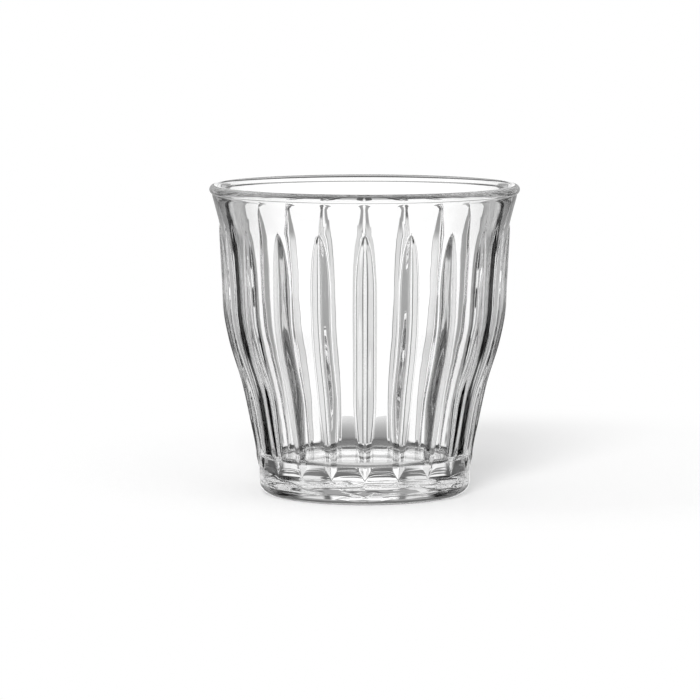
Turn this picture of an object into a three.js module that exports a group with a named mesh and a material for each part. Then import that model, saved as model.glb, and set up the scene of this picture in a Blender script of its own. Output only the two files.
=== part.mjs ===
// A ribbed coffee glass, pressed in one piece of clear glass.
// Millimetres, +Z up: the axis is Z, the foot rests on z = 0, and one rib faces -Y.
import * as THREE from "three";

// Height and rim
const HEIGHT = 86;
const RIM_RADIUS = 43;
const BEAD_RADIUS = 1.3;
const BEAD_TUCK = 60; // degrees that the bead's round runs on below level, before it meets the wall

// Outer wall between the ribs, from the foot up: heights and radii that its curve runs through
const FOOT_TOP = 9;
const FOOT_RADIUS = 29.37;
const WAIST_HEIGHT = 20;
const WAIST_RADIUS = 30.81;
const FLANK_LOW_HEIGHT = 29;
const FLANK_LOW_RADIUS = 32.4;
const FLANK_HIGH_HEIGHT = 43;
const FLANK_HIGH_RADIUS = 36.46;
const SHOULDER_HEIGHT = 50;
const SHOULDER_RADIUS = 37.81;
const NECK_HEIGHT = 60;
const NECK_RADIUS = 38.37;
const COLLAR_HEIGHT = 74;
const COLLAR_RADIUS = 39.95;
const LIP_FLARE = 0.25; // slope of the wall outward where it meets the bead

// Foot and underside
const HEEL_RADIUS = 3.5;
const PUNT_RADIUS = 22.5;
const PUNT_DEPTH = 2.2;

// Inside: the wall's thickness, and the floor
const LIP_WALL = 2.83; // where it meets the bead
const UPPER_WALL = 3.55; // where it starts to thin towards the lip
const BASE_WALL = 3.8; // at the floor
const THINNING_HEIGHT = 70;
const THINNING_POWER = 1.5; // above 1, so that the thinning starts gently
const FLOOR_HEIGHT = 10.4;
const FLOOR_FILLET = 2;

// Ribs
const RIB_COUNT = 20;
const RIB_WIDTH = 5.2;
const RIB_RISE = 1.3;
const RIB_TAIL_WIDTH = 3.2;
const RIB_TAIL_RISE = 0.7;
const RIB_TAIL_END = 7; // height of the lower point
const RIB_WEDGE = 3; // length of the wedge at the lower end
const RIB_TAPER = 20; // length over which the tail grows to the full section
const RIB_NOSE = 17; // length of the pointed arch at the upper end
const NOSE_POWER = 0.7; // above a half, so that the arch is more pointed than an ellipse
const CREST_ROUND = 0.15; // round of the crest between a rib's two faces, as a share of its half width
const PLAIN_BAND = 10.7; // from the upper point of a rib to the rim's top

// Mesh: columns round the glass, and rows along each curved stretch
const PLAIN_COLUMNS = 4; // for each rib's pitch; a ribbed ring has twice as many
const RIB_OFFSETS = [-1, -0.5, -0.15, 0, 0.15, 0.5, 1];
const LEAST_HALF_WIDTH = 0.35; // keeps the points of a ribbed ring apart at the ends of a rib
const BEAD_ROWS = 3; // below its widest, from there to its top, and inside
const HEEL_ROWS = 4;
const PUNT_ROWS = 3;
const FILLET_ROWS = 5;
const INSIDE_ROWS = 9;
const BODY_ROWS = 10;
const NOSE_SHARES = [0.4, 0.2, 0.07]; // rows in the arch, as shares of its length below the point
const LIP_ROWS = 2;

const PITCH = (2 * Math.PI) / RIB_COUNT;
const FIRST_RIB = -Math.PI / 2;

const beadCentre = new THREE.Vector2(RIM_RADIUS - BEAD_RADIUS, HEIGHT - BEAD_RADIUS);
const beadEnd = onBead(-BEAD_TUCK);
const lipHeight = beadEnd.y;
const ribTop = HEIGHT - PLAIN_BAND;

const wallStations = [
  [FOOT_TOP, FOOT_RADIUS],
  [WAIST_HEIGHT, WAIST_RADIUS],
  [FLANK_LOW_HEIGHT, FLANK_LOW_RADIUS],
  [FLANK_HIGH_HEIGHT, FLANK_HIGH_RADIUS],
  [SHOULDER_HEIGHT, SHOULDER_RADIUS],
  [NECK_HEIGHT, NECK_RADIUS],
  [COLLAR_HEIGHT, COLLAR_RADIUS],
  [lipHeight, beadEnd.x],
];

// The rim's round inside touches the top of the bead and the inner wall, whose slope at the lip it needs.
const thinning = (UPPER_WALL - LIP_WALL) / (lipHeight - THINNING_HEIGHT);
const innerSlope = LIP_FLARE + THINNING_POWER * thinning;
const lipReach = beadCentre.x - innerRadius(lipHeight) - innerSlope * (HEIGHT - lipHeight);
const lipRound = lipReach / (Math.hypot(1, innerSlope) - innerSlope);
const lipCentre = new THREE.Vector2(beadCentre.x, HEIGHT - lipRound);

// A point on the rim's outer round, at an angle in degrees above level.
function onBead(degrees) {
  const angle = THREE.MathUtils.degToRad(degrees);
  return new THREE.Vector2(Math.cos(angle), Math.sin(angle)).multiplyScalar(BEAD_RADIUS).add(beadCentre);
}

// A point on the rim's inner round, at an angle in degrees from straight up towards the axis.
function onLipRound(degrees) {
  const angle = THREE.MathUtils.degToRad(degrees);
  return new THREE.Vector2(-Math.sin(angle), Math.cos(angle)).multiplyScalar(lipRound).add(lipCentre);
}

// The slope of the wall's curve at one of its stations.
function stationSlope(index) {
  const last = wallStations.length - 1;
  if (index === 0) return 0;
  if (index === last) return LIP_FLARE;
  const [below, here, above] = wallStations.slice(index - 1, index + 2);
  const lower = (here[1] - below[1]) / (here[0] - below[0]);
  const upper = (above[1] - here[1]) / (above[0] - here[0]);
  return (lower * (above[0] - here[0]) + upper * (here[0] - below[0])) / (above[0] - below[0]);
}

// Radius of the outer wall between the ribs: a smooth curve through the stations, straight in the foot.
function wallRadius(height) {
  if (height <= FOOT_TOP) return FOOT_RADIUS;
  if (height >= lipHeight) return beadEnd.x + (height - lipHeight) * LIP_FLARE;
  const index = wallStations.findIndex(([top]) => height <= top) - 1;
  const [low, lowRadius] = wallStations[index];
  const [high, highRadius] = wallStations[index + 1];
  const span = high - low;
  const t = (height - low) / span;
  const rise = t * t * (3 - 2 * t);
  const start = t * (1 - t) * (1 - t) * span * stationSlope(index);
  const end = t * t * (t - 1) * span * stationSlope(index + 1);
  return lowRadius + (highRadius - lowRadius) * rise + start + end;
}

// Radius of the smooth inner wall: the glass grows thicker from the lip down to the floor.
function innerRadius(height) {
  const below = Math.max(THINNING_HEIGHT - height, 0) / (THINNING_HEIGHT - FLOOR_HEIGHT);
  const above = Math.max(height - THINNING_HEIGHT, 0) / (lipHeight - THINNING_HEIGHT);
  const thinned = (UPPER_WALL - LIP_WALL) * above ** THINNING_POWER;
  return wallRadius(height) - THREE.MathUtils.lerp(UPPER_WALL, BASE_WALL, below) + thinned;
}

// How much of its full section a rib has at a height: the wedge, the tail's taper and the nose.
function ribSection(height) {
  const wedge = THREE.MathUtils.clamp((height - RIB_TAIL_END) / RIB_WEDGE, 0, 1);
  const tailTop = RIB_TAIL_END + RIB_WEDGE;
  const grown = THREE.MathUtils.smoothstep(height, tailTop, tailTop + RIB_TAPER);
  const fromNose = THREE.MathUtils.clamp(1 - (ribTop - height) / RIB_NOSE, 0, 1);
  const nose = (1 - fromNose * fromNose) ** NOSE_POWER;
  return {
    halfWidth: (THREE.MathUtils.lerp(RIB_TAIL_WIDTH, RIB_WIDTH, grown) / 2) * wedge * nose,
    rise: THREE.MathUtils.lerp(RIB_TAIL_RISE, RIB_RISE, grown) * wedge * nose,
  };
}

// A rib's rise at an offset across it, as a share of its crest's: two faces that meet in a rounded ridge.
function ridge(offset) {
  const edge = Math.hypot(1, CREST_ROUND);
  return (edge - Math.hypot(offset, CREST_ROUND)) / (edge - CREST_ROUND);
}

// A plain round ring of points.
function plainRing(radius, height) {
  const count = RIB_COUNT * PLAIN_COLUMNS;
  const start = FIRST_RIB - PITCH / 2;
  const points = [];
  for (let i = 0; i < count; i += 1) {
    const angle = start + (i * PITCH) / PLAIN_COLUMNS;
    points.push(new THREE.Vector3(radius * Math.cos(angle), radius * Math.sin(angle), height));
  }
  return points;
}

// A ring that rises over every rib: one point between two ribs, then the points across a rib.
function ribbedRing(height) {
  const wall = wallRadius(height);
  const { halfWidth, rise } = ribSection(height);
  const spread = Math.max(halfWidth, LEAST_HALF_WIDTH) / wall;
  const points = [];
  const add = (angle, radius) => {
    points.push(new THREE.Vector3(radius * Math.cos(angle), radius * Math.sin(angle), height));
  };
  for (let rib = 0; rib < RIB_COUNT; rib += 1) {
    const middle = FIRST_RIB + rib * PITCH;
    add(middle - PITCH / 2, wall);
    for (const offset of RIB_OFFSETS) add(middle + offset * spread, wall + rise * ridge(offset));
  }
  return points;
}

// Rings from the middle of the underside, up the outside, over the rim and down to the floor.
function glassRings() {
  const rings = [];
  const heelRadius = FOOT_RADIUS - HEEL_RADIUS;
  for (let i = 1; i <= PUNT_ROWS; i += 1) {
    const share = i / PUNT_ROWS;
    rings.push(plainRing(PUNT_RADIUS * share, PUNT_DEPTH * (1 - share * share)));
  }
  for (let i = 0; i <= HEEL_ROWS; i += 1) {
    const angle = ((i / HEEL_ROWS) * Math.PI) / 2;
    const radius = heelRadius + HEEL_RADIUS * Math.sin(angle);
    rings.push(plainRing(radius, HEEL_RADIUS * (1 - Math.cos(angle))));
  }

  const bodyLow = RIB_TAIL_END + RIB_WEDGE;
  const bodyHigh = ribTop - RIB_NOSE;
  rings.push(ribbedRing(RIB_TAIL_END));
  for (let i = 0; i <= BODY_ROWS; i += 1) {
    rings.push(ribbedRing(THREE.MathUtils.lerp(bodyLow, bodyHigh, i / BODY_ROWS)));
  }
  for (const share of NOSE_SHARES) rings.push(ribbedRing(ribTop - share * RIB_NOSE));
  rings.push(ribbedRing(ribTop));

  for (let i = 1; i <= LIP_ROWS; i += 1) {
    const height = THREE.MathUtils.lerp(ribTop, lipHeight, i / LIP_ROWS);
    rings.push(plainRing(wallRadius(height), height));
  }
  const rimPoints = [];
  const insideTurn = 90 - THREE.MathUtils.radToDeg(Math.atan(innerSlope));
  for (let i = 1; i <= BEAD_ROWS; i += 1) rimPoints.push(onBead(-BEAD_TUCK * (1 - i / BEAD_ROWS)));
  for (let i = 1; i <= BEAD_ROWS; i += 1) rimPoints.push(onBead((90 * i) / BEAD_ROWS));
  for (let i = 1; i <= BEAD_ROWS; i += 1) rimPoints.push(onLipRound((insideTurn * i) / BEAD_ROWS));
  for (const point of rimPoints) rings.push(plainRing(point.x, point.y));

  const filletTop = FLOOR_HEIGHT + FLOOR_FILLET;
  const insideTop = rimPoints.at(-1).y;
  for (let i = 1; i <= INSIDE_ROWS; i += 1) {
    const height = THREE.MathUtils.lerp(insideTop, filletTop, i / INSIDE_ROWS);
    rings.push(plainRing(innerRadius(height), height));
  }
  const floorRadius = innerRadius(filletTop) - FLOOR_FILLET;
  for (let i = 1; i <= FILLET_ROWS; i += 1) {
    const angle = ((i / FILLET_ROWS) * Math.PI) / 2;
    const radius = floorRadius + FLOOR_FILLET * Math.cos(angle);
    rings.push(plainRing(radius, filletTop - FLOOR_FILLET * Math.sin(angle)));
  }
  return rings;
}

// A closed skin over the rings, with a fan at each end to a point on the axis.
function closedSkin(rings, startHeight, endHeight) {
  const positions = [0, 0, startHeight];
  const indices = [];
  const starts = [];
  for (const ring of rings) {
    starts.push(positions.length / 3);
    for (const point of ring) positions.push(point.x, point.y, point.z);
  }
  const endPoint = positions.length / 3;
  positions.push(0, 0, endHeight);

  const at = (ring, column) => starts[ring] + (column % rings[ring].length);
  const last = rings.length - 1;
  for (let i = 0; i < rings[0].length; i += 1) indices.push(0, at(0, i + 1), at(0, i));
  for (let i = 0; i < rings[last].length; i += 1) indices.push(at(last, i), at(last, i + 1), endPoint);

  for (let r = 0; r < last; r += 1) {
    const lower = rings[r].length;
    const upper = rings[r + 1].length;
    for (let i = 0; i < Math.min(lower, upper); i += 1) {
      if (lower === upper) {
        indices.push(at(r, i), at(r, i + 1), at(r + 1, i + 1));
        indices.push(at(r, i), at(r + 1, i + 1), at(r + 1, i));
      } else if (lower < upper) {
        indices.push(at(r, i), at(r + 1, 2 * i + 1), at(r + 1, 2 * i));
        indices.push(at(r, i), at(r, i + 1), at(r + 1, 2 * i + 1));
        indices.push(at(r, i + 1), at(r + 1, 2 * i + 2), at(r + 1, 2 * i + 1));
      } else {
        indices.push(at(r, 2 * i), at(r, 2 * i + 1), at(r + 1, i));
        indices.push(at(r, 2 * i + 1), at(r + 1, i + 1), at(r + 1, i));
        indices.push(at(r, 2 * i + 1), at(r, 2 * i + 2), at(r + 1, i + 1));
      }
    }
  }

  const geometry = new THREE.BufferGeometry();
  geometry.setAttribute("position", new THREE.Float32BufferAttribute(positions, 3));
  geometry.setIndex(indices);
  geometry.computeVertexNormals();
  return geometry;
}

const glass = new THREE.MeshStandardMaterial({ color: 0xe9eeee, roughness: 0.03, metalness: 0 });
const body = new THREE.Mesh(closedSkin(glassRings(), PUNT_DEPTH, FLOOR_HEIGHT), glass);
body.name = "glass_body";

const part = new THREE.Group();
part.name = "coffee_glass";
part.add(body);

export default part;
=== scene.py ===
"""Coffee glass: a ribbed tumbler pressed in one piece of clear glass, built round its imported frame."""

from collections import namedtuple
from math import atan, cos, hypot, pi, radians, sin, sqrt

import bpy
from bpy.props import FloatProperty, FloatVectorProperty, IntProperty, PointerProperty
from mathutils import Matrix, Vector


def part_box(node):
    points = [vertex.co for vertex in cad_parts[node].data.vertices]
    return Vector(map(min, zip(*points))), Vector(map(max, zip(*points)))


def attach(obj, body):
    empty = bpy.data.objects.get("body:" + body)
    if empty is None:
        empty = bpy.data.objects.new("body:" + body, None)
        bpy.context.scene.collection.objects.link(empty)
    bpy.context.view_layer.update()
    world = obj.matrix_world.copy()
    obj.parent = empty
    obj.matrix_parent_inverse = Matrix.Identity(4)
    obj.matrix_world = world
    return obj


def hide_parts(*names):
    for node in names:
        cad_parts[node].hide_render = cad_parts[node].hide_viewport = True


bl_info = {
    "name": "Coffee Glass",
    "version": (1, 0, 0),
    "blender": (4, 5, 0),
    "location": "View3D > Sidebar > Coffee Glass",
    "description": "Builds a ribbed coffee glass in clear pressed glass, with its stage",
    "category": "Object",
}

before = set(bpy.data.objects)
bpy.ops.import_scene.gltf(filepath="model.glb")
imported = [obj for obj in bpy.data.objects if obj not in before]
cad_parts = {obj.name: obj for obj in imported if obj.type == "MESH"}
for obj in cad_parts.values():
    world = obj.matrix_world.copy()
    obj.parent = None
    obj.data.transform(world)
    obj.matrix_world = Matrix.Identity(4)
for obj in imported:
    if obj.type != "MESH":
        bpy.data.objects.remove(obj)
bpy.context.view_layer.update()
_, BODY_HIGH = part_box("glass_body")

MM = 0.001

# Outer wall between the ribs: heights and radii that its curve runs through, from the foot's top up
WALL_STATIONS = (
    (9.0 * MM, 29.37 * MM),
    (20.0 * MM, 30.81 * MM),
    (29.0 * MM, 32.4 * MM),
    (43.0 * MM, 36.46 * MM),
    (50.0 * MM, 37.81 * MM),
    (60.0 * MM, 38.37 * MM),
    (74.0 * MM, 39.95 * MM),
)

CREST_ROUND = 0.15  # round of a rib's crest between its two faces, as a share of its half width
NOSE_POWER = 0.55  # above a half, so that a rib's arch is more pointed than an ellipse
THINNING_POWER = 1.5  # above 1, so that the wall's thinning towards the lip starts gently

# Soft crease under the bead: where it meets the bead's round, and how far its curve follows each end
CREASE_LIFT = radians(4)
CREASE_LEAVE = 0.1
CREASE_ARRIVE = 0.3

# Columns across half a rib, as shares of its half width, and then evenly to the middle of the gap
RIB_SHARES = (0.0, 0.06, 0.13, 0.22, 0.36, 0.54, 0.72, 0.84, 0.92, 0.98, 1.04, 1.12, 1.25)
GAP_COLUMNS = 3
HALF_COLUMNS = len(RIB_SHARES) - 1 + GAP_COLUMNS
LEAST_HALF_WIDTH = 0.5 * MM  # what the columns keep where a rib runs out

# Rows along each stretch of the glass's section
PUNT_ROWS = 8
HEEL_ROWS = 8
FOOT_ROWS = 5
WEDGE_ROWS = 8
BODY_ROWS = 36
NOSE_ROWS = 26
BAND_ROWS = 10
CREASE_ROWS = 7
BEAD_ROWS = 9
INSIDE_ROWS = 20
FILLET_ROWS = 10
FLOOR_ROWS = 4

MERGE_DISTANCE = 0.001 * MM

Panel = namedtuple("Panel", "azimuth half_width elevation half_height soft brightness")

# What the glass sees round it: panels painted over dark surroundings, in this order. Angles are in degrees,
# with azimuth 0 straight behind the glass. A panel off to one side stands on the other side too.
DARK = 0.0
PANELS = (
    Panel(0, 200, 68, 32, 5, 1.08),  # ceiling
    Panel(0, 200, -70, 30, 5, 0.06),  # dark table
    Panel(0, 200, -84, 22, 5, 0.3),  # table straight below
    Panel(150, 50, -45, 12, 5, 0.4),  # table in front
    Panel(112, 20, -9, 13, 3, 1.3),  # soft lights at the sides
    Panel(112, 20, 18, 14, 3, 0.3),  # grey over the side lights
    Panel(158, 26, 0, 34, 5, 0.32),  # room behind the camera
    Panel(0, 30, 21, 14, 3, 0.36),  # wall over the backdrop
    Panel(0, 16, -40, 10, 3, 0.04),  # dark table close behind
    Panel(0, 30, -20, 8, 2, 0.05),  # dark table further back
    Panel(47, 12, -26, 6, 2, 0.85),  # bright paper at the back corners
    Panel(0, 13, -16.5, 3.5, 1.5, 1.05),  # bright paper in front of the backdrop
    Panel(0, 24, -12, 3.5, 1.0, 0.4),  # grey paper at the backdrop's foot
    Panel(0, 15.8, -12, 3.0, 0.8, 1.05),  # its bright middle
    Panel(0, 40, -4, 5.5, 1.5, 1.0),  # lower part of the backdrop
    Panel(0, 27, 1.0, 9.5, 1.0, 0.82),  # backdrop
    Panel(31, 9, -7, 3.8, 0.8, 0.95),  # lower ends of the backdrop
    Panel(18.8, 2.4, -5, 6, 1.0, 0.78),  # grey strips beside the middle
    Panel(19, 2.5, -11.8, 2.6, 0.8, 0.34),  # darker feet of the grey strips
    Panel(50, 11, -2, 7, 2, 0.1),  # dark flags beside the backdrop
    Panel(14.2, 1.6, 0.5, 9.5, 0.8, 0.12),  # thin dark flags beside the middle
    Panel(0, 12.5, -2, 12.5, 1.0, 1.16),  # bright middle
)

NOISE_MIDDLE = 0.5
NOISE_ROUGHNESS = 0.5

# Waves that the pressing leaves all over the glass
WAVE_SCALE = 130.0
WAVE_DETAIL = 1.0
WAVE_ROUGHNESS = 0.4

# Wrinkles round the foot: thin lines where a noise is near its middle. The foot is unrolled at a small radius
# for them, so that they run long round it.
WRINKLE_SCALE = 480.0
WRINKLE_DETAIL = 1.0
WRINKLE_RADIUS = 5.0 * MM
WRINKLE_REACH = 0.06
WRINKLES_START = (1.2 * MM, 2.0 * MM)  # heights over which they come in
WRINKLES_FADE = (5.0 * MM, 8.0 * MM)  # heights over which they fade out
WRINKLES_INSIDE = (20.0 * MM, 24.0 * MM)  # radii over which they come in

LAMP_PASS = 0.78  # share of the lamp's light that each wall of the glass lets through to the paper

# White paper of the floor
FIBRE_SCALE = 900.0
FIBRE_DETAIL = 2.0
PAPER_ROUGHNESS = 0.85
FIBRE_ROUGHNESS = 0.1
FLOOR_SIDES = 128

# Painted shadow of the glass on the paper behind it, as the glass shows it: the strip it is painted on, and
# its painted shade
SHADE_STRIP_START = 30.0 * MM
SHADE_STRIP_SOFT = 3.0 * MM
DEEPEST_PAINTED_SHADE = 0.15
LIGHTEST_PAINTED_SHADE = 0.84

# Painted light on the paper under the glass, standing in for the lamp's light through it, as the glass shows
# it: radii over which it ends, and its painted shade
PAINTED_UNDER_EDGE = (16.0 * MM, 22.0 * MM)
PAINTED_UNDER_SHADE = 0.75

WHITE = (1.0, 1.0, 1.0, 1.0)

# Camera: the picture's width in pixels, the sensor's width in millimetres, and how near and far it sees
PHOTO_PIXELS = 700
SENSOR_WIDTH = 36.0
CAMERA_NEAR = 0.01
CAMERA_FAR = 20.0

LIGHT_BOUNCES = 32  # enough for light to pass through all the walls of the glass


def length(name, description, default):
    """A length that can be changed, in metres."""
    return FloatProperty(
        name=name, description=description, default=default, min=0.0, unit="LENGTH", subtype="DISTANCE"
    )


def tilt(name, description, default):
    """An angle that can be changed, with its default in degrees."""
    return FloatProperty(name=name, description=description, default=radians(default), subtype="ANGLE")


def amount(name, description, default):
    """A number that can be changed."""
    return FloatProperty(name=name, description=description, default=default, min=0.0)


def shade(name, description, default):
    """A colour that can be changed."""
    return FloatVectorProperty(
        name=name, description=description, default=default, min=0.0, max=1.0, size=3, subtype="COLOR"
    )


class GlassSizes(bpy.types.PropertyGroup):
    """Sizes of the pressing."""

    height: length("Height", "Foot to the top of the rim", BODY_HIGH.z)
    rim_radius: length("Rim radius", "Axis to the outside of the rim bead", BODY_HIGH.y)
    bead_radius: length("Bead radius", "Round of the rim bead outside", 1.3 * MM)
    bead_tuck: tilt("Bead tuck", "How far the bead's round runs on below level", 60)
    lip_crease: length("Lip crease", "Height of the soft crease under the bead", 0.9 * MM)
    lip_flare: amount("Lip flare", "Slope of the wall where it meets the bead", 0.25)
    heel_radius: length("Heel radius", "Round between the foot band and the underside", 3.5 * MM)
    punt_radius: length("Punt radius", "Edge of the hollow underside", 22.5 * MM)
    punt_depth: length("Punt depth", "Depth of the hollow underside", 2.2 * MM)
    lip_wall: length("Lip wall", "Thickness of the wall under the rim", 2.83 * MM)
    upper_wall: length("Upper wall", "Thickness of the wall where it starts to thin to the lip", 3.55 * MM)
    thinning_height: length("Thinning height", "Table to where the wall starts to thin", 70.0 * MM)
    base_wall: length("Base wall", "Thickness of the wall at the floor", 3.8 * MM)
    floor_height: length("Floor height", "Table to the floor of the drink space", 10.4 * MM)
    floor_fillet: length("Floor fillet", "Round between the floor and the inner wall", 2.0 * MM)
    rib_count: IntProperty(name="Ribs", description="Ribs round the glass", default=20, min=3)
    rib_width: length("Rib width", "Width of a rib at its belly", 5.2 * MM)
    rib_rise: length("Rib rise", "Height of a rib over the wall", 1.3 * MM)
    rib_tail_width: length("Rib tail width", "Width of a rib near the foot", 3.2 * MM)
    rib_tail_rise: length("Rib tail rise", "Height of a rib near the foot", 0.7 * MM)
    rib_tail_end: length("Rib tail end", "Height of a rib's lower point", 7.0 * MM)
    rib_wedge: length("Rib wedge", "Length of the wedge at the lower end", 3.0 * MM)
    rib_taper: length("Rib taper", "Length over which the tail grows", 20.0 * MM)
    rib_nose: length("Rib nose", "Length of the pointed arch", 17.0 * MM)
    rib_fillet: length("Rib fillet", "Softness of the foot of a rib", 0.14 * MM)
    plain_band: length("Plain band", "Rib's upper point to the rim's top", 11.2 * MM)


class GlassFinish(bpy.types.PropertyGroup):
    """Finish of the glass."""

    tint: shade("Tint", "Colour of the glass", (0.99, 0.99, 0.99))
    ior: FloatProperty(name="IOR", description="How strongly the glass bends light", default=1.52, min=1.0)
    ripple: length("Ripple", "Depth of the waves that pressing leaves", 0.02 * MM)
    wrinkle: length("Wrinkle", "Depth of the wrinkles that the cold mould leaves round the foot", 0.045 * MM)
    polish: FloatProperty(
        name="Polish", description="Roughness of the clean glass", default=0.0, min=0.0, max=1.0
    )


class StageSettings(bpy.types.PropertyGroup):
    """Camera, floor and light."""

    distance: length("Camera distance", "Axis of the glass to the camera", 1.15)
    eye_height: length("Camera height", "Table to the camera", 0.1636)
    sideways: FloatProperty(
        name="Camera sideways", description="Camera's place to the right", default=-0.00404, unit="LENGTH"
    )
    pitch: tilt("Camera pitch", "How far the camera looks down", 6.144)
    focal_pixels: amount("Focal length", "Focal length in pixels of the picture", 4158.0)
    floor_shade: shade("Floor", "Colour of the paper", (0.92, 0.92, 0.92))
    floor_radius: length("Floor radius", "Size of the floor", 1.6)
    shadow_centre: FloatVectorProperty(
        name="Shadow centre",
        description="Middle of the glass's shadow",
        default=(0.04, 0.06),
        size=2,
        subtype="XYZ_LENGTH",
    )
    shadow_reach: length("Shadow reach", "Middle of the shadow to where the paper starts to whiten", 0.085)
    paper_reach: length("Paper reach", "Middle of the shadow to where the paper is plain white", 0.14)
    # A painted shadow behind the glass, which only the glass shows: the width of its strip, and where its
    # painted shade starts to fade and ends
    shade_strip_width: length("Runner width", "Width of the strip of paper that the glass shows behind it", 0.03)
    shade_start: length("Shade start", "Axis of the glass to where its shade behind it starts to fade", 0.07)
    shade_end: length("Shade end", "Axis of the glass to where its shade behind it ends", 0.167)
    card_aside: length("Card aside", "Axis of the glass to the middle of each grey card, sideways", 0.06)
    card_behind: length("Card behind", "Axis of the glass to the grey cards behind it", 0.06)
    card_width: length("Card width", "Width of a grey card", 0.032)
    card_height: length("Card height", "Height of a grey card", 0.1)
    card_shade: amount("Card shade", "Brightness of a grey card in the glass", 0.4)
    sky_light: amount("Sky light", "Even light of the studio on the paper", 0.58)
    key_light: amount("Key light", "Strength of the main light", 2.9)
    key_height: tilt("Key height", "Main light's angle above the table", 32)
    key_turn: tilt("Key turn", "Main light's angle to the left of the camera", 11)
    key_softness: tilt("Key softness", "Main light's width as the glass sees it", 20)


def mix(low, high, share):
    return low + (high - low) * share


def clamp(value):
    return min(max(value, 0.0), 1.0)


def smooth(value):
    value = clamp(value)
    return value * value * (3 - 2 * value)


class Section:
    """The glass's section: its walls, ribs, rim and foot, worked out from the sizes."""

    def __init__(self, sizes):
        self.sizes = sizes
        self.bead = Vector((sizes.rim_radius - sizes.bead_radius, sizes.height - sizes.bead_radius))
        self.bead_end = self.on_bead(-sizes.bead_tuck)
        self.lip = self.bead_end.y
        self.crease_low = self.lip - sizes.lip_crease
        self.rib_top = sizes.height - sizes.plain_band
        self.tail_top = sizes.rib_tail_end + sizes.rib_wedge
        self.stations = WALL_STATIONS + ((self.lip, self.bead_end.x),)
        self.pitch = 2 * pi / sizes.rib_count
        thinning = (sizes.upper_wall - sizes.lip_wall) / (self.lip - sizes.thinning_height)
        self.inner_slope = sizes.lip_flare + THINNING_POWER * thinning
        reach = self.bead.x - self.inside(self.lip) - self.inner_slope * (sizes.height - self.lip)
        self.lip_round = reach / (hypot(1, self.inner_slope) - self.inner_slope)
        self.lip_end = pi - atan(self.inner_slope)

    def on_bead(self, angle):
        """A point of the bead's round, outside."""
        return self.bead + Vector((cos(angle), sin(angle))) * self.sizes.bead_radius

    def on_lip(self, angle):
        """A point of the lip's round, inside the bead."""
        crown = Vector((self.bead.x, self.sizes.height - self.lip_round))
        return crown + Vector((cos(angle), sin(angle))) * self.lip_round

    def slope(self, index):
        """Slope of the outer wall at a station."""
        if index == 0:
            return 0.0
        if index == len(self.stations) - 1:
            return self.sizes.lip_flare
        below, here, above = self.stations[index - 1 : index + 2]
        lower = (here[1] - below[1]) / (here[0] - below[0])
        upper = (above[1] - here[1]) / (above[0] - here[0])
        return (lower * (above[0] - here[0]) + upper * (here[0] - below[0])) / (above[0] - below[0])

    def wall(self, height):
        """Radius of the outer wall between the ribs."""
        foot_top, foot_radius = self.stations[0]
        if height <= foot_top:
            return foot_radius
        if height >= self.lip:
            return self.bead_end.x + (height - self.lip) * self.sizes.lip_flare
        index = 0
        while index < len(self.stations) - 2 and height > self.stations[index + 1][0]:
            index += 1
        (low, low_radius), (high, high_radius) = self.stations[index], self.stations[index + 1]
        span = high - low
        t = (height - low) / span
        start = t * (1 - t) ** 2 * span * self.slope(index)
        end = t * t * (t - 1) * span * self.slope(index + 1)
        return mix(low_radius, high_radius, t * t * (3 - 2 * t)) + start + end

    def inside(self, height):
        """Radius of the smooth inner wall."""
        sizes = self.sizes
        below = max(sizes.thinning_height - height, 0.0) / (sizes.thinning_height - sizes.floor_height)
        above = max(height - sizes.thinning_height, 0.0) / (self.lip - sizes.thinning_height)
        thinned = (sizes.upper_wall - sizes.lip_wall) * above**THINNING_POWER
        return self.wall(height) - mix(sizes.upper_wall, sizes.base_wall, below) + thinned

    def rib(self, height):
        """A rib's share of its full section, its half width and its rise at a height."""
        sizes = self.sizes
        wedge = clamp((height - sizes.rib_tail_end) / sizes.rib_wedge)
        grown = smooth((height - self.tail_top) / sizes.rib_taper)
        from_nose = clamp(1 - (self.rib_top - height) / sizes.rib_nose)
        share = wedge * (1 - from_nose**2) ** NOSE_POWER
        half_width = mix(sizes.rib_tail_width, sizes.rib_width, grown) / 2
        return share, half_width, mix(sizes.rib_tail_rise, sizes.rib_rise, grown)

    def plain_row(self, radius, height):
        """Points of one sector, at even angles round the axis."""
        angles = [self.pitch / 2 * i / HALF_COLUMNS for i in range(-HALF_COLUMNS, HALF_COLUMNS + 1)]
        return [(angle, radius, height) for angle in angles]

    def ribbed_row(self, height, spread=0.0):
        """Points of one sector over its rib. The columns follow the rib's edges; spread evens them out."""
        share, half_width, rise = self.rib(height)
        wall = self.wall(height)
        reach = max(half_width * share, LEAST_HALF_WIDTH) / wall
        half = [reach * s for s in RIB_SHARES]
        half += [mix(half[-1], self.pitch / 2, (i + 1) / GAP_COLUMNS) for i in range(GAP_COLUMNS)]
        edge = hypot(1, CREST_ROUND)
        row = []
        for i in range(-HALF_COLUMNS, HALF_COLUMNS + 1):
            even = self.pitch / 2 * i / HALF_COLUMNS
            angle = mix(half[abs(i)] * (1 if i > 0 else -1), even, spread)
            lift = 0.0
            if share > 0.0:
                across = angle * wall / (half_width * share)
                dome = rise * (edge - hypot(across, CREST_ROUND)) / (edge - CREST_ROUND)
                lift = share * (dome + sqrt(dome * dome + self.sizes.rib_fillet**2)) / 2
            row.append((angle, wall + lift, height))
        return row

    def underside(self):
        """Rows from the middle of the hollow underside to the top of the heel."""
        sizes = self.sizes
        rows = []
        for i in range(PUNT_ROWS + 1):
            share = i / PUNT_ROWS
            rows.append(self.plain_row(sizes.punt_radius * share, sizes.punt_depth * (1 - share * share)))
        heel_in = self.wall(sizes.heel_radius) - sizes.heel_radius
        for i in range(HEEL_ROWS + 1):
            angle = i / HEEL_ROWS * pi / 2
            radius = heel_in + sizes.heel_radius * sin(angle)
            rows.append(self.plain_row(radius, sizes.heel_radius * (1 - cos(angle))))
        return rows

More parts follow.
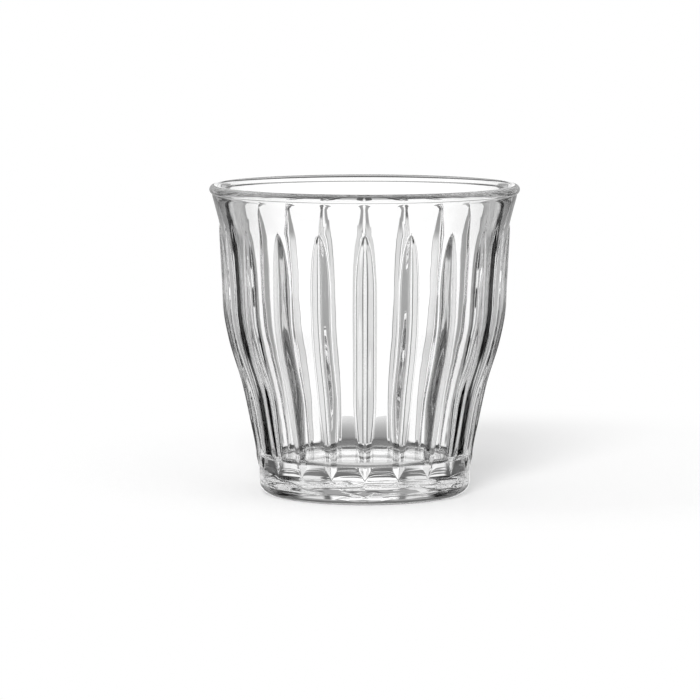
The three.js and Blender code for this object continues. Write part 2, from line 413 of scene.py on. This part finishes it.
    def outside(self):
        """Rows up the foot band, the ribs and the plain band to the crease under the bead."""
        sizes = self.sizes
        rows = []
        for i in range(1, FOOT_ROWS):
            share = i / FOOT_ROWS
            rows.append(self.ribbed_row(mix(sizes.heel_radius, sizes.rib_tail_end, share), 1 - share))
        for i in range(WEDGE_ROWS):
            rows.append(self.ribbed_row(sizes.rib_tail_end + sizes.rib_wedge * i / WEDGE_ROWS))
        body_top = self.rib_top - sizes.rib_nose
        for i in range(BODY_ROWS):
            rows.append(self.ribbed_row(mix(self.tail_top, body_top, i / BODY_ROWS)))
        for i in range(NOSE_ROWS + 1):
            rows.append(self.ribbed_row(self.rib_top - sizes.rib_nose * (1 - i / NOSE_ROWS) ** 2))
        for i in range(1, BAND_ROWS + 1):
            share = i / BAND_ROWS
            rows.append(self.ribbed_row(mix(self.rib_top, self.crease_low, share), smooth(share)))
        return rows

    def rim(self):
        """Rows through the crease, over the bead and round the lip to the inner wall."""
        sizes = self.sizes
        first = CREASE_LIFT - sizes.bead_tuck
        start, end = Vector((self.wall(self.crease_low), self.crease_low)), self.on_bead(first)
        leave = start + Vector((sizes.lip_flare, 1)) * sizes.lip_crease * CREASE_LEAVE
        arrive = end - Vector((-sin(first), cos(first))) * sizes.lip_crease * CREASE_ARRIVE
        points = []
        for i in range(1, CREASE_ROWS):
            t = i / CREASE_ROWS
            lower = start * (1 - t) ** 3 + leave * 3 * t * (1 - t) ** 2
            points.append(lower + arrive * 3 * t * t * (1 - t) + end * t**3)
        for i in range(BEAD_ROWS + 1):
            points.append(self.on_bead(mix(first, pi / 2, i / BEAD_ROWS)))
        for i in range(1, BEAD_ROWS + 1):
            points.append(self.on_lip(mix(pi / 2, self.lip_end, i / BEAD_ROWS)))
        return [self.plain_row(point.x, point.y) for point in points]

    def drink_space(self):
        """Rows down the inner wall, round the fillet and over the floor to its middle."""
        sizes = self.sizes
        rows = []
        wall_top = self.on_lip(self.lip_end).y
        fillet_top = sizes.floor_height + sizes.floor_fillet
        for i in range(1, INSIDE_ROWS + 1):
            height = mix(wall_top, fillet_top, i / INSIDE_ROWS)
            rows.append(self.plain_row(self.inside(height), height))
        floor_radius = self.inside(fillet_top) - sizes.floor_fillet
        for i in range(1, FILLET_ROWS + 1):
            angle = i / FILLET_ROWS * pi / 2
            radius = floor_radius + sizes.floor_fillet * cos(angle)
            rows.append(self.plain_row(radius, fillet_top - sizes.floor_fillet * sin(angle)))
        for i in range(1, FLOOR_ROWS + 1):
            rows.append(self.plain_row(floor_radius * (1 - i / FLOOR_ROWS), sizes.floor_height))
        return rows

    def rows(self):
        """Every row of a sector, from the middle of the underside round to the middle of the floor."""
        return self.underside() + self.outside() + self.rim() + self.drink_space()


class Socket:
    """A shader socket that takes part in Python expressions."""

    def __init__(self, tree, output):
        self.tree, self.output = tree, output

    @staticmethod
    def node(tree, kind, settings=None, inputs=None, output=0):
        """Adds a node of a kind, sets it up, feeds its inputs and returns one of its outputs, if any."""
        node = tree.nodes.new(kind)
        for name, value in (settings or {}).items():
            setattr(node, name, value)
        for name, value in (inputs or {}).items():
            if isinstance(value, Socket):
                tree.links.new(value.output, node.inputs[name])
            else:
                node.inputs[name].default_value = value
        return Socket(tree, node.outputs[output]) if node.outputs else None

    def math(self, operation, *others, last=False):
        """A Math node of this value and others. This value comes first, or last where that is asked for."""
        values = (*others, self) if last else (self, *others)
        return Socket.node(self.tree, "ShaderNodeMath", {"operation": operation}, dict(enumerate(values)))

    def __add__(self, other):
        return self.math("ADD", other)

    def __radd__(self, other):
        return self.math("ADD", other, last=True)

    def __sub__(self, other):
        return self.math("SUBTRACT", other)

    def __rsub__(self, other):
        return self.math("SUBTRACT", other, last=True)

    def __mul__(self, other):
        return self.math("MULTIPLY", other)

    def __rmul__(self, other):
        return self.math("MULTIPLY", other, last=True)

    def __truediv__(self, other):
        return self.math("DIVIDE", other)

    def __rtruediv__(self, other):
        return self.math("DIVIDE", other, last=True)

    def parts(self):
        """The three numbers of a vector."""
        first = Socket.node(self.tree, "ShaderNodeSeparateXYZ", inputs={0: self})
        return [Socket(self.tree, output) for output in first.output.node.outputs]

    def surface(self, kind="ShaderNodeOutputMaterial"):
        """Ends the node tree with this shader."""
        Socket.node(self.tree, kind, inputs={"Surface": self})


def ramp(value, low, high, to_low=0.0, to_high=1.0):
    """A smooth step of a value between two limits."""
    settings = {"interpolation_type": "SMOOTHSTEP"}
    limits = {"Value": value, "From Min": low, "From Max": high, "To Min": to_low, "To Max": to_high}
    return Socket.node(value.tree, "ShaderNodeMapRange", settings, limits)


def window(value, centre, half, soft):
    """A soft-edged band of a value: 1 within half of its centre, and 0 outside."""
    away = (value - centre).math("ABSOLUTE")
    return ramp(away, half - soft, half + soft, 1.0, 0.0)


def noise(place, scale, detail, roughness):
    """Soft noise over a place, from 0 to 1."""
    inputs = {"Vector": place, "Scale": scale, "Detail": detail, "Roughness": roughness}
    return Socket.node(place.tree, "ShaderNodeTexNoise", inputs=inputs)


def from_axis(x, y):
    """Distance from the glass's axis."""
    return (x * x + y * y).math("SQRT")


def new_material(name):
    material = bpy.data.materials.new(name)
    material.use_nodes = True
    material.node_tree.nodes.clear()
    return material, material.node_tree


def pressing_marks(place, finish):
    """Depth of the waves all over the glass, and of the wrinkles round its foot."""
    x, y, z = place.parts()
    outward = from_axis(x, y)
    around = x.math("ARCTAN2", y) * WRINKLE_RADIUS
    unrolled = Socket.node(place.tree, "ShaderNodeCombineXYZ", inputs={0: around, 1: outward, 2: z})
    folds = noise(unrolled, WRINKLE_SCALE, WRINKLE_DETAIL, NOISE_ROUGHNESS)
    wrinkles = ramp((folds - NOISE_MIDDLE).math("ABSOLUTE"), 0.0, WRINKLE_REACH, 1.0, 0.0)
    near_foot = ramp(z, *WRINKLES_START) * ramp(z, *WRINKLES_FADE, 1.0, 0.0)
    near_foot = near_foot * ramp(outward, *WRINKLES_INSIDE)
    waves = noise(place, WAVE_SCALE, WAVE_DETAIL, WAVE_ROUGHNESS)
    return waves * finish.ripple + wrinkles * near_foot * finish.wrinkle


def clear_glass(finish):
    """Clear pressed glass: faint marks from the mould, and a surface that lets most lamp light through."""
    material, tree = new_material("clear_glass")
    place = Socket.node(tree, "ShaderNodeTexCoord", output="Object")
    depth = pressing_marks(place, finish) / MM
    bump = Socket.node(tree, "ShaderNodeBump", inputs={"Height": depth, "Strength": 1.0, "Distance": MM})
    glass = Socket.node(
        tree,
        "ShaderNodeBsdfPrincipled",
        inputs={
            "Base Color": (*finish.tint, 1.0),
            "Roughness": finish.polish,
            "IOR": finish.ior,
            "Transmission Weight": 1.0,
            "Normal": bump,
        },
    )
    passed = (LAMP_PASS, LAMP_PASS, LAMP_PASS, 1.0)
    passing = Socket.node(tree, "ShaderNodeBsdfTransparent", inputs={"Color": passed})
    lamp_ray = Socket.node(tree, "ShaderNodeLightPath", output="Is Shadow Ray")
    Socket.node(tree, "ShaderNodeMixShader", inputs={0: lamp_ray, 1: glass, 2: passing}).surface()
    return material


def painted_paper_in_glass(place, stage):
    """The paper as the glass shows it: a painted shadow behind the glass, painted light under it, and nothing
    elsewhere.
    """
    tree = place.tree
    x, y, _ = place.parts()
    shade_strip = window(x, 0.0, stage.shade_strip_width / 2, SHADE_STRIP_SOFT)
    shade_strip = shade_strip * ramp(y, SHADE_STRIP_START, SHADE_STRIP_START + SHADE_STRIP_SOFT)
    shade_strip = shade_strip * ramp(y, stage.shade_end, stage.shade_end + SHADE_STRIP_SOFT, 1.0, 0.0)
    along = (y - stage.shade_start) / (stage.shade_end - stage.shade_start)
    along = along.math("MAXIMUM", 0.0)
    # Painted shade, darkest near the glass and lighter further back, with painted light under the glass; an
    # emission shows it, and no lamp lights it
    level = DEEPEST_PAINTED_SHADE + along * along * (LIGHTEST_PAINTED_SHADE - DEEPEST_PAINTED_SHADE)
    under = ramp(from_axis(x, y), *PAINTED_UNDER_EDGE, 1.0, 0.0)
    level = level + under * (PAINTED_UNDER_SHADE - level)
    painted_shade = Socket.node(tree, "ShaderNodeEmission", inputs={"Color": level, "Strength": 1.0})
    nothing = Socket.node(tree, "ShaderNodeBsdfTransparent")
    shown = shade_strip.math("MAXIMUM", under)
    return Socket.node(tree, "ShaderNodeMixShader", inputs={0: shown, 1: nothing, 2: painted_shade})


def floor_finish(stage):
    """White paper that takes the glass's shadow, and runs out into plain white away from the glass."""
    material, tree = new_material("white_paper")
    place = Socket.node(tree, "ShaderNodeTexCoord", output="Object")
    shadow = (*stage.shadow_centre, 0.0)
    from_shadow = Socket.node(
        tree, "ShaderNodeVectorMath", {"operation": "DISTANCE"}, {0: place, 1: shadow}, output="Value"
    )
    fibres = noise(place, FIBRE_SCALE, FIBRE_DETAIL, NOISE_ROUGHNESS)
    paper = Socket.node(
        tree,
        "ShaderNodeBsdfPrincipled",
        inputs={
            "Base Color": (*stage.floor_shade, 1.0),
            "Roughness": PAPER_ROUGHNESS + fibres * FIBRE_ROUGHNESS,
            "Specular IOR Level": 0.0,
        },
    )
    white = Socket.node(tree, "ShaderNodeEmission", inputs={"Color": WHITE, "Strength": 1.0})
    outside = ramp(from_shadow, stage.shadow_reach, stage.paper_reach)
    seen = Socket.node(tree, "ShaderNodeMixShader", inputs={0: outside, 1: paper, 2: white})
    camera = Socket.node(tree, "ShaderNodeLightPath", output="Is Camera Ray")
    # Rays other than the camera's see the painted shadow and painted light, not the lit paper
    through = painted_paper_in_glass(place, stage)
    Socket.node(tree, "ShaderNodeMixShader", inputs={0: camera, 1: through, 2: seen}).surface()
    return material


def card_finish(stage):
    """Grey card, evenly lit."""
    material, tree = new_material("grey_card")
    Socket.node(tree, "ShaderNodeEmission", inputs={"Color": WHITE, "Strength": stage.card_shade}).surface()
    return material


def studio_world(stage):
    """A white studio: plain white to the eye, with soft panels and dark flags for the glass to show."""
    world = bpy.data.worlds.new("studio")
    world.use_nodes = True
    tree = world.node_tree
    tree.nodes.clear()
    x, y, z = Socket.node(tree, "ShaderNodeTexCoord", output="Generated").parts()
    aside = x.math("ARCTAN2", y).math("ABSOLUTE")
    rise = z.math("ARCSINE")
    level = DARK
    for panel in PANELS:
        soft = radians(panel.soft)
        across = window(aside, radians(panel.azimuth), radians(panel.half_width), soft)
        shape = across * window(rise, radians(panel.elevation), radians(panel.half_height), soft)
        level = level + shape * (panel.brightness - level)
    camera = Socket.node(tree, "ShaderNodeLightPath", output="Is Camera Ray")
    diffuse = Socket.node(tree, "ShaderNodeLightPath", output="Is Diffuse Ray")
    light = diffuse * stage.sky_light + (1 - diffuse) * level
    seen = camera + (1 - camera) * light
    background = Socket.node(tree, "ShaderNodeBackground", inputs={"Color": seen, "Strength": 1.0})
    background.surface("ShaderNodeOutputWorld")
    return world


class COFFEEGLASS_OT_body(bpy.types.Operator):
    """Build the pressed glass body, with its rim, ribs, foot and floor"""

    bl_idname = "coffee_glass.body"
    bl_label = "Glass Body"

    def execute(self, context):
        scene = context.scene
        rows = Section(scene.glass_sizes).rows()
        columns = 2 * HALF_COLUMNS
        stretches = len(rows) - 1
        bpy.ops.object.select_all(action="DESELECT")
        bpy.ops.mesh.primitive_grid_add(x_subdivisions=columns, y_subdivisions=stretches, size=1.0)
        body = context.object
        body.name = body.data.name = "glass_tumbler"
        points = body.data.vertices
        if len(points) != len(rows) * (columns + 1):
            raise RuntimeError("the grid doesn't match the section's rows")
        # The grid is one unit across and centred, so a point's place tells its column and its row
        for point in points:
            column = round((point.co.x + 0.5) * columns)
            row = round((point.co.y + 0.5) * stretches)
            angle, radius, height = rows[row][column]
            around = angle - pi / 2
            point.co = (radius * cos(around), radius * sin(around), height)

        ribs = scene.glass_sizes.rib_count
        turned = 2 * pi * (ribs - 1) / ribs
        bpy.ops.object.mode_set(mode="EDIT")
        bpy.ops.mesh.select_all(action="SELECT")
        bpy.ops.mesh.spin(steps=ribs - 1, dupli=True, angle=turned, center=(0, 0, 0), axis=(0, 0, 1))
        bpy.ops.mesh.select_all(action="SELECT")
        bpy.ops.mesh.remove_doubles(threshold=MERGE_DISTANCE)
        bpy.ops.mesh.normals_make_consistent(inside=False)
        bpy.ops.object.mode_set(mode="OBJECT")
        bpy.ops.object.shade_smooth()
        body.data.materials.append(clear_glass(scene.glass_finish))
        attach(body, "root")
        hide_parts("glass_body")
        return {"FINISHED"}


def add_floor(context, stage):
    bpy.ops.mesh.primitive_circle_add(vertices=FLOOR_SIDES, radius=stage.floor_radius, fill_type="NGON")
    floor = context.object
    floor.name = floor.data.name = "floor"
    floor.data.materials.append(floor_finish(stage))


def add_cards(context, stage):
    """Grey cards behind the glass, which only the glass shows."""
    grey = card_finish(stage)
    for side in (-1, 1):
        place = (side * stage.card_aside, stage.card_behind, stage.card_height / 2)
        bpy.ops.mesh.primitive_plane_add(size=1.0, location=place, rotation=(pi / 2, 0, 0))
        card = context.object
        card.name = card.data.name = "grey_card"
        card.scale = (stage.card_width, stage.card_height, 1)
        card.visible_camera = card.visible_diffuse = card.visible_shadow = False
        card.data.materials.append(grey)


def add_key_light(context, stage):
    bpy.ops.object.light_add(type="SUN", location=(0, 0, 1))
    key = context.object
    key.name = key.data.name = "key_light"
    key.data.energy = stage.key_light
    key.data.angle = stage.key_softness
    key.visible_transmission = key.visible_glossy = False
    key.rotation_euler = (pi / 2 - stage.key_height, 0, -stage.key_turn)


def add_camera(context, stage):
    bpy.ops.object.camera_add(location=(stage.sideways, -stage.distance, stage.eye_height))
    camera = context.object
    camera.name = camera.data.name = "photo_camera"
    camera.rotation_euler = (pi / 2 - stage.pitch, 0, 0)
    camera.data.sensor_width = SENSOR_WIDTH
    camera.data.lens = stage.focal_pixels / PHOTO_PIXELS * SENSOR_WIDTH
    camera.data.clip_start = CAMERA_NEAR
    camera.data.clip_end = CAMERA_FAR
    context.scene.camera = camera


class COFFEEGLASS_OT_stage(bpy.types.Operator):
    """Set the floor, the lights and the camera"""

    bl_idname = "coffee_glass.stage"
    bl_label = "Stage"

    def execute(self, context):
        scene = context.scene
        stage = scene.glass_stage
        bpy.ops.object.select_all(action="DESELECT")
        add_floor(context, stage)
        add_cards(context, stage)
        add_key_light(context, stage)
        add_camera(context, stage)
        scene.world = studio_world(stage)
        scene.view_settings.view_transform = "Standard"
        scene.cycles.use_denoising = True
        scene.cycles.max_bounces = LIGHT_BOUNCES
        scene.cycles.transmission_bounces = LIGHT_BOUNCES
        scene.cycles.glossy_bounces = LIGHT_BOUNCES
        scene.cycles.transparent_max_bounces = LIGHT_BOUNCES
        return {"FINISHED"}


class COFFEEGLASS_PT_panel(bpy.types.Panel):
    """Lists the glass's sizes, its finish, its stage and its operators"""

    bl_idname = "COFFEEGLASS_PT_panel"
    bl_label = "Coffee Glass"
    bl_space_type = "VIEW_3D"
    bl_region_type = "UI"
    bl_category = "Coffee Glass"

    def draw(self, context):
        for group in (context.scene.glass_sizes, context.scene.glass_finish, context.scene.glass_stage):
            box = self.layout.box()
            for name in group.__annotations__:
                box.prop(group, name)
        for operator in OPERATORS:
            self.layout.operator(operator.bl_idname)


GROUPS = {"glass_sizes": GlassSizes, "glass_finish": GlassFinish, "glass_stage": StageSettings}
OPERATORS = (COFFEEGLASS_OT_body, COFFEEGLASS_OT_stage)


def register():
    for part in (*GROUPS.values(), *OPERATORS, COFFEEGLASS_PT_panel):
        bpy.utils.register_class(part)
    for name, group in GROUPS.items():
        setattr(bpy.types.Scene, name, PointerProperty(type=group))


def unregister():
    for name in GROUPS:
        delattr(bpy.types.Scene, name)
    for part in reversed((*GROUPS.values(), *OPERATORS, COFFEEGLASS_PT_panel)):
        bpy.utils.unregister_class(part)


def main():
    register()
    bpy.ops.coffee_glass.body()
    bpy.ops.coffee_glass.stage()


if __name__ == "__main__":
    main()
